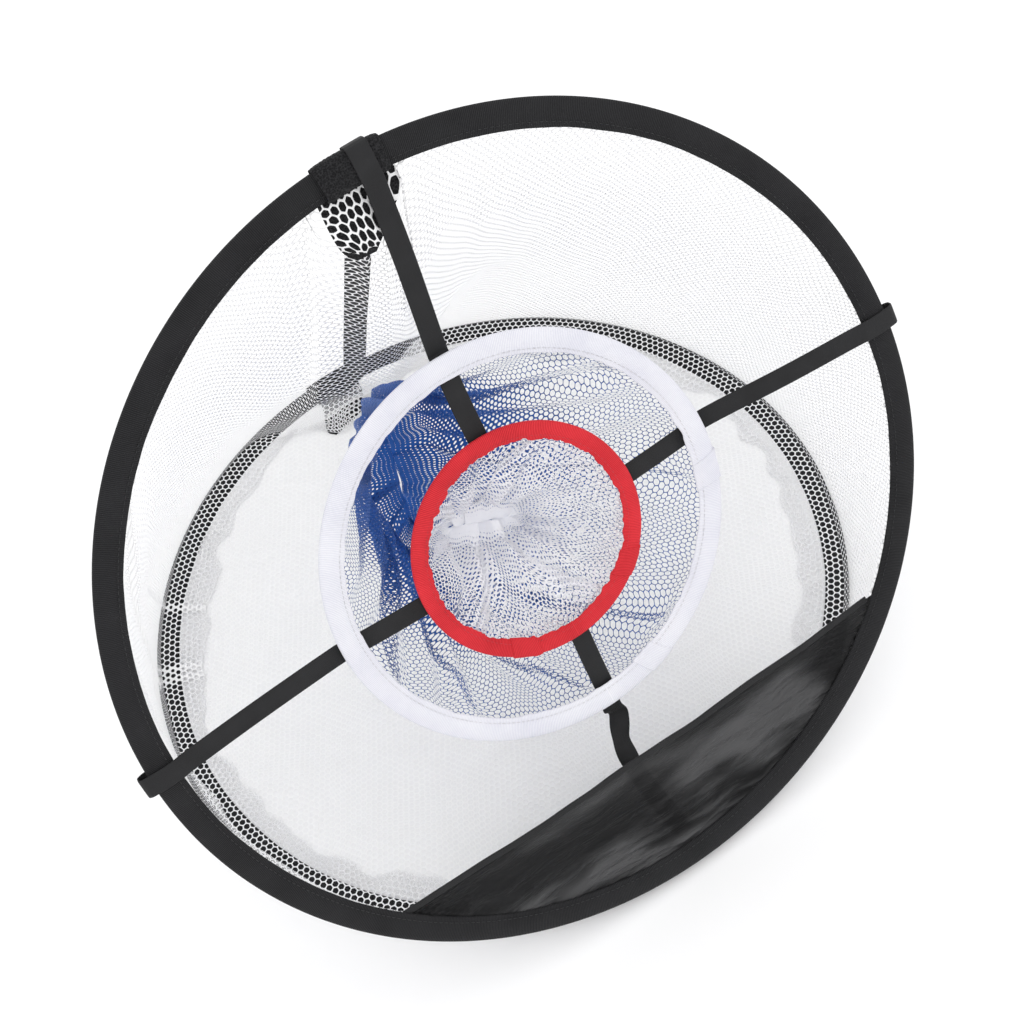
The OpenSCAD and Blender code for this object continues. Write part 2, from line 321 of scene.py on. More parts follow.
def honeycomb(n, uv, pitch, warp):
    """Distance from the middle of a point's cell in a slightly uneven honeycomb: 0.5 on the threads."""
    drift = n.scaled(n.vec("SUBTRACT", n.noise(uv, 26, 2, out="Color"), (0.5, 0.5, 0.5)), warp * 8 * MM)
    cell = n.scaled(n.vec("ADD", uv, drift), 1 / pitch)
    # two interleaved rows of cells: each point belongs to the nearer middle
    size, half = (1.0, math.sqrt(3), 1.0), (0.5, math.sqrt(3) / 2, 0.5)
    flat = (1.0, 1.0, 0.0)
    a = n.vec("MULTIPLY", n.vec("SUBTRACT", n.vec("WRAP", cell, size), half), flat)
    b = n.vec("SUBTRACT", n.vec("WRAP", n.vec("SUBTRACT", cell, half), size), half)
    b = n.vec("MULTIPLY", b, flat)
    nearer = n.math("LESS_THAN", n.vec("DOT_PRODUCT", a, a, out=1), n.vec("DOT_PRODUCT", b, b, out=1))
    pick = n.add("ShaderNodeMix", data_type="VECTOR")
    n.link(nearer, pick.inputs["Factor"])
    n.link(b, pick.inputs[4])
    n.link(a, pick.inputs[5])
    g = n.vec("ABSOLUTE", pick.outputs[1])
    slanted = n.vec("DOT_PRODUCT", g, (0.5, math.sqrt(3) / 2, 0), out=1)
    straight = n.math("MAXIMUM", slanted, n.split(g)[0])
    round_ = n.math("MULTIPLY", n.vec("LENGTH", pick.outputs[1], out=1), 0.93)
    return n.weigh((straight, 0.62), (round_, 0.38))


def hexagon_mesh(name, colour, shade, pitch, thread, glow, warp=0.12):
    """Knitted mesh: a honeycomb of threads with rounded holes. The holes are clear. The gather
    attribute thickens the threads where the mesh is drawn together."""
    n = Nodes(name)
    uv = n.uv()
    gather = n.add("ShaderNodeAttribute", attribute_name="gather").outputs["Fac"]
    loose = n.math("MULTIPLY_ADD", n.noise(uv, 420, 1), 0.5, 0.75)
    width = n.math("MULTIPLY", n.math("MULTIPLY", loose, thread / pitch / 2), n.math("ADD", 1.0, gather))
    inward = n.math("SUBTRACT", honeycomb(n, uv, pitch, warp), n.math("SUBTRACT", 0.5, width))
    solid = n.ramp(inward, -0.012, 0.012)
    strand = n.ramp(inward, 0.0, 0.12)
    tone = n.weigh((strand, 0.5), (n.noise(n.place(), 45, 3), 0.6))
    tint = n.mix(n.ramp(tone, 0.2, 0.85), shade, colour)
    normal = n.bump(strand, 0.25 * MM)
    cloth = n.principled(Base_Color=tint, Roughness=0.6, Normal=normal, Sheen_Weight=0.15)
    lit = n.add("ShaderNodeBsdfTranslucent")
    n.link(tint, lit.inputs["Color"])
    n.link(normal, lit.inputs["Normal"])
    return n.finish(n.over_clear(solid, n.mix_shaders(glow, cloth, lit.outputs[0])))


def sheer_nylon(name, dark, light, clear):
    """Thin satin-faced nylon: fine plain weave, slightly see-through, with broad soft highlights, painted
    into its colour as well as given by raised specular and lower roughness. The highlights are strongest low
    on the cloth and die away towards its top edge."""
    n = Nodes(name)
    uv = n.uv()
    along, across, _ = n.split(uv)
    weave = n.lift(n.math("MULTIPLY", n.sine(along, 0.6 * MM), n.sine(across, 0.6 * MM)))
    slant = n.vec("ADD", uv, n.vec("MULTIPLY", n.noise(uv, 14, 2, out="Color"), (0.02, 0.02, 0)))
    broad = n.ramp(n.noise(n.vec("MULTIPLY", slant, (1.0, 3.4, 1.0)), 8, 2, 0.45), 0.40, 0.62)
    streak = n.ramp(n.noise(n.vec("MULTIPLY", slant, (1.0, 5.0, 1.0)), 22, 4), 0.38, 0.66)
    low = n.ramp(across, 16 * MM, 52 * MM, 1.0, 0.25)
    shine = n.weigh((broad, 0.75), (n.math("MULTIPLY", streak, low), 0.45))
    shine = n.math("MULTIPLY", shine, n.ramp(across, 62 * MM, 79 * MM, 1.0, 0.35))
    # shine paints highlights into the colour, and the weave term paints its dips a little darker: painted
    # shade
    tone = n.weigh((weave, 0.15), (shine, 0.9))
    colour = n.mix(n.ramp(tone, 0.1, 1.0), dark, light)
    normal = n.bump(weave, 0.05 * MM, base=n.bump(streak, 1.6 * MM))
    cloth = n.principled(Base_Color=colour, Roughness=n.ramp(shine, 0.0, 1.0, 0.5, 0.34), Normal=normal,
                         Specular_IOR_Level=n.ramp(shine, 0.0, 1.0, 0.12, 0.62), Sheen_Weight=0.02)
    return n.finish(n.over_clear(1 - clear, cloth))


def looped_pile(name, dark, light):
    """The loop side of hook-and-loop: a dense, dull tangle of fibres."""
    n = Nodes(name)
    where = n.place()
    tangle = n.noise(where, 1500, 4, 0.7)
    cell = n.add("ShaderNodeTexVoronoi", feature="F1")
    n.link(where, cell.inputs["Vector"])
    cell.inputs["Scale"].default_value = 900
    clump = cell.outputs["Distance"]
    colour = n.mix(n.ramp(n.weigh((tangle, 0.8), (clump, 0.5)), 0.45, 0.95), dark, light)
    normal = n.bump(n.weigh((tangle, 1), (clump, -0.8)), 0.6 * MM)
    return n.finish(n.principled(Base_Color=colour, Roughness=0.95, Normal=normal, Sheen_Weight=0.05,
                                 Sheen_Roughness=0.7, Specular_IOR_Level=0.1))


def thread(name, colour):
    n = Nodes(name)
    along, across, _ = n.split(n.uv())
    twist = n.sine(n.weigh((along, 1), (across, 1.4)), 0.5 * MM)
    # the twist's grooves are painted at 0.6 of the colour: painted shade
    tint = n.mix(n.ramp(twist, -1, 1), tuple(c * 0.6 for c in colour), colour)
    return n.finish(n.principled(Base_Color=tint, Roughness=0.55, Normal=n.bump(twist, 0.06 * MM)))


def drawn_metal(name, colour, rough):
    n = Nodes(name)
    grain = n.noise(n.vec("MULTIPLY", n.place(), (1, 1, 9)), 300, 4)
    tint = n.mix(n.ramp(grain, 0.3, 0.75), tuple(c * 0.7 for c in colour), colour)
    roughness = n.ramp(grain, 0.2, 0.8, rough, rough + 0.2)
    return n.finish(n.principled(Base_Color=tint, Metallic=1.0, Roughness=roughness,
                                 Normal=n.bump(grain, 0.02 * MM)))


def moulded_plastic(name, dark, light, rough):
    n = Nodes(name)
    grain = n.noise(n.place(), 900, 4)
    cloud = n.noise(n.place(), 60, 3)
    tint = n.mix(n.ramp(cloud, 0.3, 0.7), dark, light)
    roughness = n.ramp(cloud, 0.3, 0.7, rough - 0.06, rough + 0.06)
    return n.finish(n.principled(Base_Color=tint, Roughness=roughness, Normal=n.bump(grain, 0.04 * MM)))


def floor_mesh(name, colour, shade, clear):
    """White mesh that lies doubled on the ground inside the base hoop, so its cells look filled."""
    n = Nodes(name)
    uv = n.uv()
    upper = n.ramp(honeycomb(n, uv, 4.4 * MM, 0.2), 0.30, 0.47)
    aside = n.vec("ADD", uv, (1.6 * MM, 0.9 * MM, 0))
    lower = n.ramp(honeycomb(n, aside, 4.6 * MM, 0.3), 0.34, 0.49)
    threads = n.math("MAXIMUM", upper, n.math("MULTIPLY", lower, 0.55))
    tone = n.weigh((threads, 0.40), (n.noise(uv, 9, 4), 0.6))
    tint = n.mix(n.ramp(tone, 0.2, 0.85), shade, colour)
    cloth = n.principled(Base_Color=tint, Roughness=0.8, Normal=n.bump(threads, 0.22 * MM), Sheen_Weight=0.35)
    return n.finish(n.over_clear(1 - clear, cloth))


def webbing_no_uv(name, dark, light):
    """Webbing for a small CAD piece that has no map of its own."""
    n = Nodes(name)
    where = n.place()
    rib = n.lift(n.sine(n.split(where)[0], 1.05 * MM))
    cloud = n.noise(where, 60, 3)
    # the rib term paints the grooves darker and the rib tops lighter: painted shade; the cloud is random tone
    tint = n.mix(n.ramp(n.math("ADD", rib, cloud), 0.4, 1.4), dark, light)
    return n.finish(n.principled(Base_Color=tint, Roughness=0.75, Normal=n.bump(rib, 0.2 * MM),
                                 Sheen_Weight=0.2))


# ---- mesh helpers
def ripple(x, y, seed, scale=1.0):
    """Smooth noise from -1 to 1 over two arrays, the same on every run."""
    x, y = np.broadcast_arrays(np.asarray(x, float), np.asarray(y, float))
    flat = [noise.noise(Vector((a * scale + seed * 7.3, b * scale - seed * 3.1, seed * 1.7)))
            for a, b in zip(x.ravel(), y.ravel())]
    return np.array(flat).reshape(x.shape)


def smooth(t):
    t = np.clip(t, 0, 1)
    return t * t * (3 - 2 * t)


def bell(x, width, power=2):
    """1 in the middle and near 0 past width on both sides. A higher power makes it flatter on top."""
    return np.exp(-(x / width) ** power)


def add_mesh(name, points, faces, uv, material):
    """Mesh in the scene. uv has a place on the cloth for every corner of every face."""
    mesh = bpy.data.meshes.new(name)
    mesh.from_pydata(points, [], faces)
    mesh.uv_layers.new(name="UVMap").data.foreach_set("uv", np.asarray(uv, np.float32).ravel())
    mesh.shade_smooth()
    mesh.materials.append(material)
    return add_object(name, mesh)


def grid(name, points, u, v, material, wrap_i=False, wrap_j=False, gather=None):
    """Mesh from an (ni, nj, 3) array. u and v are the cloth's own lengths in metres and have one
    more row or column where the grid wraps."""
    ni, nj = points.shape[:2]
    fi, fj = ni - 1 + wrap_i, nj - 1 + wrap_j
    i, j = np.meshgrid(np.arange(fi), np.arange(fj), indexing="ij")
    i, j = i.ravel(), j.ravel()
    corners = [(i, j), (i + 1, j), (i + 1, j + 1), (i, j + 1)]
    faces = np.stack([(a % ni) * nj + b % nj for a, b in corners], 1)
    u = np.broadcast_to(u, (fi + 1, fj + 1))
    v = np.broadcast_to(v, (fi + 1, fj + 1))
    uv = np.stack([np.stack([u[a, b], v[a, b]], 1) for a, b in corners], 1)
    obj = add_mesh(name, points.reshape(-1, 3).tolist(), faces.tolist(), uv, material)
    if gather is not None:
        values = np.broadcast_to(gather, (ni, nj)).astype(np.float32).ravel()
        obj.data.attributes.new("gather", "FLOAT", "POINT").data.foreach_set("value", values)
    return obj


def lengths(points):
    """Running length along a line of points."""
    return np.concatenate([[0], np.cumsum(np.linalg.norm(np.diff(points, axis=0), axis=1))])


def oval(n, half_w, half_t, power):
    """Points round a flattened section: a across, b out of the face."""
    k = np.arange(n) / n * 2 * math.pi
    c, s = np.cos(k), np.sin(k)
    return half_w * np.sign(c) * np.abs(c) ** (2 / power), half_t * np.sign(s) * np.abs(s) ** (2 / power)


def round_section(across, out):
    """Running length round a closed section, back to its start."""
    loop = np.stack([across, out], 1)
    return lengths(np.concatenate([loop, loop[:1]]))[None]


def spline_weights(count, where):
    """How much each of count points gives to a smooth line through them, at each place along it."""
    p = np.zeros((count + 2, count))
    p[1:-1] = np.eye(count)
    p[0], p[-1] = 2 * p[1] - p[2], 2 * p[-2] - p[-3]
    k = np.minimum(where.astype(int), count - 2)
    f = (where - k)[:, None]
    a, b, c, d = p[k], p[k + 1], p[k + 2], p[k + 3]
    bend, twist = 2 * a - 5 * b + 4 * c - d, 3 * b - a - 3 * c + d
    return 0.5 * (2 * b + (c - a) * f + bend * f ** 2 + twist * f ** 3)


def through(points, n):
    """A smooth line of n points through the given ones."""
    return spline_weights(len(points), np.linspace(0, len(points) - 1, n)) @ np.asarray(points, float)


def bend_weights(segments):
    """Weights of the corners of a run of straight pieces, with the corners rounded. Each segment
    is (samples, crowding): above 1 the samples crowd towards its end."""
    where = [k + 1 - (1 - np.linspace(0, 1, n, endpoint=False)) ** crowd
             for k, (n, crowd) in enumerate(segments)]
    where = np.concatenate(where + [[len(segments)]])
    weights = np.maximum(1 - np.abs(where[:, None] - np.arange(len(segments) + 1)[None]), 0)
    for _ in range(10):
        weights[1:-1] = (weights[:-2] + 2 * weights[1:-1] + weights[2:]) / 4
    return where, weights


def fold_over(s, middle, width, strength):
    """Cloth at s folded over itself at middle: its shift along s, and its layer out of the face."""
    q = (s - middle) / width
    return -strength * width * q * np.exp(-q * q), -np.tanh(2 * q) * np.exp(-q * q / 3)


def close_ends(obj, ring):
    """Caps a tube of the given ring size at both ends."""
    bm = bmesh.new()
    bm.from_mesh(obj.data)
    bmesh.ops.holes_fill(bm, edges=[e for e in bm.edges if e.is_boundary], sides=ring)
    bm.to_mesh(obj.data)
    bm.free()


def put(obj, body, slot, *nodes):
    """Rides a finished piece on its body, in place of the CAD nodes it stands for."""
    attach(obj, body)
    if nodes:
        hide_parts(*nodes)


# ---- bands, stitches and ribbons
def sewn_taper(across, width):
    """Share of a band's thickness: full at the wire, thinner towards the sewn inner edge."""
    return 0.46 + 0.54 * smooth((across / (width / 2) + 1.0) / 1.15)


def band(name, place, mid, width, thick, material, seed, wavy=0.4 * MM, flat_under=False, steps=720,
         bulge=0.12, inner_wave=0.0):
    """Webbing folded over a hoop of wire and sewn along its inner edge."""
    angle = np.arange(steps) / steps * 2 * math.pi
    ring_x, ring_y = np.cos(angle) * 3, np.sin(angle) * 3
    across, out = oval(BAND_SIDES, width / 2, thick / 2, 3.0)
    edge = ripple(ring_x, ring_y, seed, 1.3) * wavy
    edge += ripple(ring_x, ring_y, seed + 3, 6.0) * wavy * 0.5
    inner = ripple(ring_x, ring_y, seed + 5, 4.0) * inner_wave
    inner += ripple(ring_x, ring_y, seed + 6, 14.0) * inner_wave * 0.4
    lift = ripple(ring_x, ring_y, seed + 9, 2.2) * wavy * 0.8
    share = np.clip(-across / (width / 2), 0, 1)
    radius = mid + across[None] - edge[:, None] * share[None] + inner[:, None] * share[None] ** 2
    height = (out * sewn_taper(across, width))[None] + lift[:, None] * share[None] ** 2
    if flat_under:
        height = np.where(out[None] < 0, out[None], height)
    pucker = ripple(angle[:, None] * 30, across[None] / width * 1.5, seed + 12)
    height = height * (1 + pucker * bulge * share[None])
    points = place(radius * np.sin(angle)[:, None], -radius * np.cos(angle)[:, None], height)
    u = (np.arange(steps + 1) / steps * 2 * math.pi * mid)[:, None]
    return grid(name, points, u, round_section(across, out), material, True, True)


def stitches(name, place, radius, heights, material, pitch=3.6 * MM, length=2.5 * MM, size=0.28 * MM):
    """Rows of thread stitches round a hoop, one pill for each."""
    count = int(2 * math.pi * radius / pitch)
    rows, faces, uvs, at = [], [], [], 0
    rings = np.array([[-0.5, 0.25], [-0.38, 0.85], [0, 1.0], [0.38, 0.85], [0.5, 0.25]])
    sides = 6
    turn = np.arange(sides) / sides * 2 * math.pi
    for height in heights:
        sunk = (1 - rings[:, 1:]) * -math.copysign(size, height)
        rad = radius + rings[:, 1:] * np.cos(turn)[None] * size
        h = height + (rings[:, 1:] * np.sin(turn)[None] * size + sunk)
        for k in range(count):
            along = (k + 0.5) / count * 2 * math.pi + rings[:, 0] * length / radius
            along = along[:, None]
            rows.append(place(rad * np.sin(along), -rad * np.cos(along), h).reshape(-1, 3))
            for a in range(len(rings) - 1):
                for b in range(sides):
                    c = (b + 1) % sides
                    faces.append([at + a * sides + b, at + (a + 1) * sides + b,
                                  at + (a + 1) * sides + c, at + a * sides + c])
                    u = rings[a, 0] * length, rings[a + 1, 0] * length
                    v = b / sides * size * 6, (b + 1) / sides * size * 6
                    uvs += [u[0], v[0], u[1], v[0], u[1], v[1], u[0], v[1]]
            for end in (0, len(rings) - 1):
                cap = [at + end * sides + b for b in range(sides)]
                faces.append(cap if end else cap[::-1])
                uvs += [0.0, 0.0] * sides
            at += len(rings) * sides
    return add_mesh(name, np.concatenate(rows).tolist(), faces, uvs, material)


def at_base(x, y, z):
    return ground(x, y, z + BAND_T / 2)


def at_rings(x, v, w):
    return front(x, v + RING_V, w + RING_W)


def ribbon(name, centre, side, width, thick, material, steps=160):
    """Flat strap along a line of points. side is the direction across it at each given point."""
    line = through(centre, steps)
    across = through(side, steps)
    along = np.gradient(line, axis=0)
    along /= np.linalg.norm(along, axis=1)[:, None]
    across -= (across * along).sum(1)[:, None] * along
    across /= np.linalg.norm(across, axis=1)[:, None]
    face = np.cross(along, across)
    sides = 20
    a, b = oval(sides, width / 2, thick / 2, 5.0)
    points = line[:, None] + a[None, :, None] * across[:, None] + b[None, :, None] * face[:, None]
    obj = grid(name, points, lengths(line)[:, None], round_section(a, b), material, False, True)
    close_ends(obj, sides)
    return obj


# ---- studio and materials in use
add_camera()
add_world(strength=1.10)
add_light("key", at=(-1.2, -1.6, 2.6), target=(0, 0, 0.2), size=2.0, power=7)
add_light("fill", at=(1.9, -0.6, 1.9), target=(0, 0, 0.2), size=2.4, power=3)
add_light("top", at=(0.1, 0.9, 2.7), target=(0, 0, 0.15), size=2.6, power=5)
bpy.context.scene.view_settings.view_transform = "Standard"
bpy.context.scene.cycles.transparent_max_bounces = 48

BLACK_WEB = ribbed_webbing("black_webbing", (0.005, 0.005, 0.006), (0.030, 0.030, 0.032), sheen=0.03)
WHITE_WEB = ribbed_webbing("white_webbing", (0.66, 0.66, 0.76), (0.86, 0.86, 0.90), depth=0.16 * MM)
RED_WEB = ribbed_webbing("red_webbing", (0.50, 0.014, 0.022), (0.84, 0.046, 0.060), depth=0.26 * MM)
RIBBON = plain_ribbon("strap_ribbon", (0.008, 0.008, 0.009), (0.026, 0.026, 0.028))
WHITE_NET = hexagon_mesh("white_mesh", (0.99, 0.99, 0.99), (0.95, 0.95, 0.97), 4.8 * MM, MM, 0.12)
BLUE_NET = hexagon_mesh("blue_mesh", (0.022, 0.13, 0.48), (0.010, 0.055, 0.25), 3.2 * MM, 0.42 * MM, 0.2)
LILAC_NET = hexagon_mesh("lilac_mesh", (0.97, 0.97, 0.99), (0.87, 0.87, 0.95), 3.0 * MM, 0.78 * MM, 0.2)
FLOOR_NET = floor_mesh("floor_mesh", (0.99, 0.99, 0.99), (0.925, 0.925, 0.93), 0.03)
NYLON = sheer_nylon("apron_nylon", (0.004, 0.004, 0.0045), (0.034, 0.034, 0.036), 0.015)
PILE = looped_pile("looped_pile", (0.004, 0.004, 0.005), (0.03, 0.03, 0.032))
BLACK_THREAD = thread("black_thread", (0.03, 0.03, 0.033))
WHITE_THREAD = thread("white_thread", (0.9, 0.9, 0.93))
RED_THREAD = thread("red_thread", (0.75, 0.05, 0.07))
STEEL = drawn_metal("spring_steel", (0.45, 0.45, 0.47), 0.3)
FERRULE = drawn_metal("ferrule_metal", (0.75, 0.75, 0.77), 0.35)
ROD = moulded_plastic("glass_fibre_rod", (0.06, 0.06, 0.065), (0.12, 0.12, 0.125), 0.4)
CAP = moulded_plastic("cap_plastic", (0.02, 0.02, 0.02), (0.04, 0.04, 0.04), 0.5)
TAPE = webbing_no_uv("hinge_tape_webbing", (0.012, 0.012, 0.014), (0.034, 0.034, 0.037))


def paint_cad(material, *nodes):
    for node in nodes:
        obj = frame["nodes"][node]
        obj.data.materials.clear()
        obj.data.materials.append(material)


paint_cad(STEEL, "base_hoop_wire", "front_hoop_wire", "middle_ring_wire", "inner_ring_wire")
paint_cad(FERRULE, "base_hoop_ferrule", "front_hoop_ferrule", "middle_ring_ferrule", "inner_ring_ferrule")
paint_cad(ROD, "strut_rod")
paint_cad(CAP, "strut_top_cap", "strut_foot_cap")
paint_cad(TAPE, "hinge_tape")


# ---- the net's pieces
def make_hoops():
    base = band("base_band", at_base, HOOP, BAND_W, BAND_T, BLACK_WEB, 1, flat_under=True)
    put(base, "base", "black_webbing", "base_hoop_sleeve")
    front_band = band("front_band", front, HOOP, BAND_W, BAND_T, BLACK_WEB, 2, wavy=0.5 * MM)
    put(front_band, "front", "black_webbing", "front_hoop_sleeve")
    row = INSIDE + 3.4 * MM
    face = BAND_T / 2 * 0.62
    put(stitches("base_stitches", at_base, row, (face,), BLACK_THREAD), "base", "black_webbing")
    put(stitches("front_stitches", front, row, (face, -face), BLACK_THREAD), "front", "black_webbing")


def make_rings():
    middle = band("middle_band", at_rings, MIDDLE, MIDDLE_W, RING_T, WHITE_WEB, 5, wavy=0.7 * MM, bulge=0.3,
                  steps=540, inner_wave=0.8 * MM)
    put(middle, "target", "white_webbing", "middle_ring_sleeve")
    inner = band("inner_band", at_rings, INNER, INNER_W, RING_T, RED_WEB, 8, wavy=0.9 * MM, bulge=0.3,
                 steps=480, inner_wave=1.7 * MM)
    put(inner, "target", "red_webbing", "inner_ring_sleeve")
    face = RING_T / 2 * 0.66
    put(stitches("middle_stitches", at_rings, MIDDLE - MIDDLE_W / 2 + 3.2 * MM, (face, -face), WHITE_THREAD,
                 pitch=3.2 * MM, length=2.2 * MM, size=0.2 * MM), "target", "white_webbing")
    put(stitches("inner_stitches", at_rings, INNER - INNER_W / 2 + 2.8 * MM, (face, -face), RED_THREAD,
                 pitch=3.0 * MM, length=2.0 * MM, size=0.2 * MM), "target", "red_webbing")


def lap(name, angle, mid, width, material, slot, seed):
    """End of a ring's band, sewn down over its start."""
    half = 9 * MM
    s = np.linspace(-1, 1, 36)[:, None]
    across, out = oval(BAND_SIDES, width / 2 + 0.8 * MM, RING_T / 2 + 0.6 * MM, 3.0)
    turn = angle + (s * half + 0.35 * across[None]) / mid
    radius = mid + across[None] + ripple(s * 2, 0, seed) * 0.7 * MM
    points = at_rings(radius * np.sin(turn), -radius * np.cos(turn), (out * sewn_taper(across, width))[None])
    obj = grid(name, points, s * half, round_section(across, out), material, False, True)
    close_ends(obj, BAND_SIDES)
    put(obj, "target", slot)


def make_laps():
    lap("inner_band_lap_right", 0.78, INNER, INNER_W, RED_WEB, "red_webbing", 11)
    lap("inner_band_lap_left", -0.5, INNER, INNER_W, RED_WEB, "red_webbing", 12)
    lap("middle_band_lap_low", 0.3, MIDDLE, MIDDLE_W, WHITE_WEB, "white_webbing", 13)
    lap("middle_band_lap_side", 1.36, MIDDLE, MIDDLE_W, WHITE_WEB, "white_webbing", 14)


def add_strap(name, centre, side, x, v):
    """Ribbon strap from the front hoop to the rings along the given line. x and v give the strap's side of
    the hoop, but the points made from them are not used.
    """
    strap = ribbon("strap_" + name + "_ribbon", centre, side, STRAP_W, STRAP_T, RIBBON)
    tuple(front(HOOP_HOLD * x, HOOP_HOLD * v, 0))
    tuple(front(RING_HOLD * x, RING_HOLD * v, 0))
    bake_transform(strap)
    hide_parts("strap_" + name)


def make_straps():
    skin = BAND_T / 2 + STRAP_T
    over = skin + 1.9 * MM          # the top strap goes over the top patch
    behind = RING_W - RING_T / 2 - STRAP_T
    ear = OUTSIDE + 5 * MM
    end = INNER - MM
    level = np.array([1.0, 0, 0])
    # each point is a distance from the rings' centre and a height off the hoop's plane
    to_rings = [(190 * MM, -9 * MM), (MIDDLE_OUT + 6 * MM, behind + MM), (MIDDLE_OUT - 4 * MM, behind),
                (100 * MM, behind - 0.5 * MM), (INNER_OUT, behind), (end, behind)]
    side_run = [(HOOP - 2 * MM, -skin), (OUTSIDE, -skin), (ear - 0.6 * MM, -skin * 0.6), (ear, 0),
                (ear - 0.6 * MM, skin * 0.6), (OUTSIDE, skin), (INSIDE + MM, skin),
                (INSIDE - 10 * MM, skin - 2.5 * MM)] + to_rings
    top_run = [(HOOP - 4 * MM, -over), (OUTSIDE, -over), (OUTSIDE + 2.1 * MM, -over * 0.6),
               (OUTSIDE + 2.5 * MM, 0), (OUTSIDE + 2.1 * MM, over * 0.6), (OUTSIDE - 1.5 * MM, over),
               (INSIDE, over), (INSIDE - 10 * MM, over - 3 * MM)] + to_rings
    # the slack bottom strap also drifts sideways and rolls
    low_run = [(INSIDE + 2 * MM, -3.6 * MM, 0, 0), (225 * MM, -8 * MM, -3 * MM, 0),
               (200 * MM, -12 * MM, -7 * MM, 0.2), (178 * MM, -15 * MM, -9 * MM, 0.5),
               (163 * MM, -25 * MM, -6 * MM, -0.4), (150 * MM, -33 * MM, 2 * MM, 0.5),
               (139 * MM, -27 * MM, -MM, 0.1), (MIDDLE_OUT - 4 * MM, behind, 0, 0),
               (100 * MM, behind - 0.5 * MM, MM, 0), (INNER_OUT, behind, 2 * MM, 0),
               (end, behind, 2 * MM, 0)]
    near = 70 * MM                  # inside this the straps keep to the rings' own axes
    for name, sign, outer_v, dip in (("left", -1, 9 * MM, 0.0), ("right", 1, 4.5 * MM, -7 * MM)):
        centre = []
        for r, w in side_run:
            v = RING_V + (outer_v - RING_V) * float(smooth((r - near) / (INSIDE - near)))
            centre.append(front(sign * r, v, w + dip * bell(r - 150 * MM, 16 * MM)))
        add_strap(name, centre, [UP] * len(centre), sign, 0)
    centre = []
    for r, w in top_run:
        share = float(smooth((r - near) / (INSIDE - near)))
        centre.append(front(2 * MM + 9 * MM * share, r + RING_V * (1 - share), w))
    add_strap("top", centre, [level] * len(centre), 0, 1)
    centre, side = [], []
    for r, w, x, roll in low_run:
        share = float(smooth((r - near) / (130 * MM)))
        centre.append(front(x, -r + RING_V * (1 - share), w))
        side.append(math.cos(roll) * level + math.sin(roll) * OUT)
    add_strap("bottom", centre, side, 0, -1)


def make_apron():
    edge = -INSIDE + APRON_H
    outer = INSIDE + 2 * MM
    half = math.sqrt(outer ** 2 - edge ** 2)
    s = np.linspace(-1, 1, 200)[:, None]
    t = np.linspace(0, 1, 56)[None]
    x = s * half
    wavy = ripple(s * 3.1, 0, 23) * 1.6 * MM + ripple(s * 8, 0, 24) * 0.7 * MM
    top = edge - 4 * MM * (1 - s ** 2) + wavy * (1 - s ** 8)
    bottom = -np.sqrt(outer ** 2 - np.minimum(np.abs(x), half) ** 2 + 1e-12)
    v = bottom + (top - bottom) * t
    hang = np.sin(math.pi * t) * (1 - s ** 4)
    along = ripple(x, v * 3.0, 21, 14) * 3.2 * MM
    along = along + ripple(x + v * 0.8, v * 5, 22, 40) * 2.4 * MM * (1 - t)
    along = along + ripple(x, v * 4, 25, 34) * MM
    w = -1.2 * MM + hang * (along - 2.5 * MM) + (1 - t) * 0.6 * MM
    obj = grid("apron_cloth", front(x, v, w), x + half, v + INSIDE, NYLON)
    put(obj, "front", "apron_cloth", "apron")
    line = front(s[:, 0] * (half - MM), top[:, 0], -MM)[::4]
    hem = ribbon("apron_hem_fold", line, [UP] * len(line), 4.2 * MM, 1.5 * MM, RIBBON, 200)
    put(hem, "front", "apron_cloth", "apron_hem")


def bend_by_angle(obj):
    """Mesh that crosses the hinge: its transform is applied to its points."""
    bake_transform(obj)


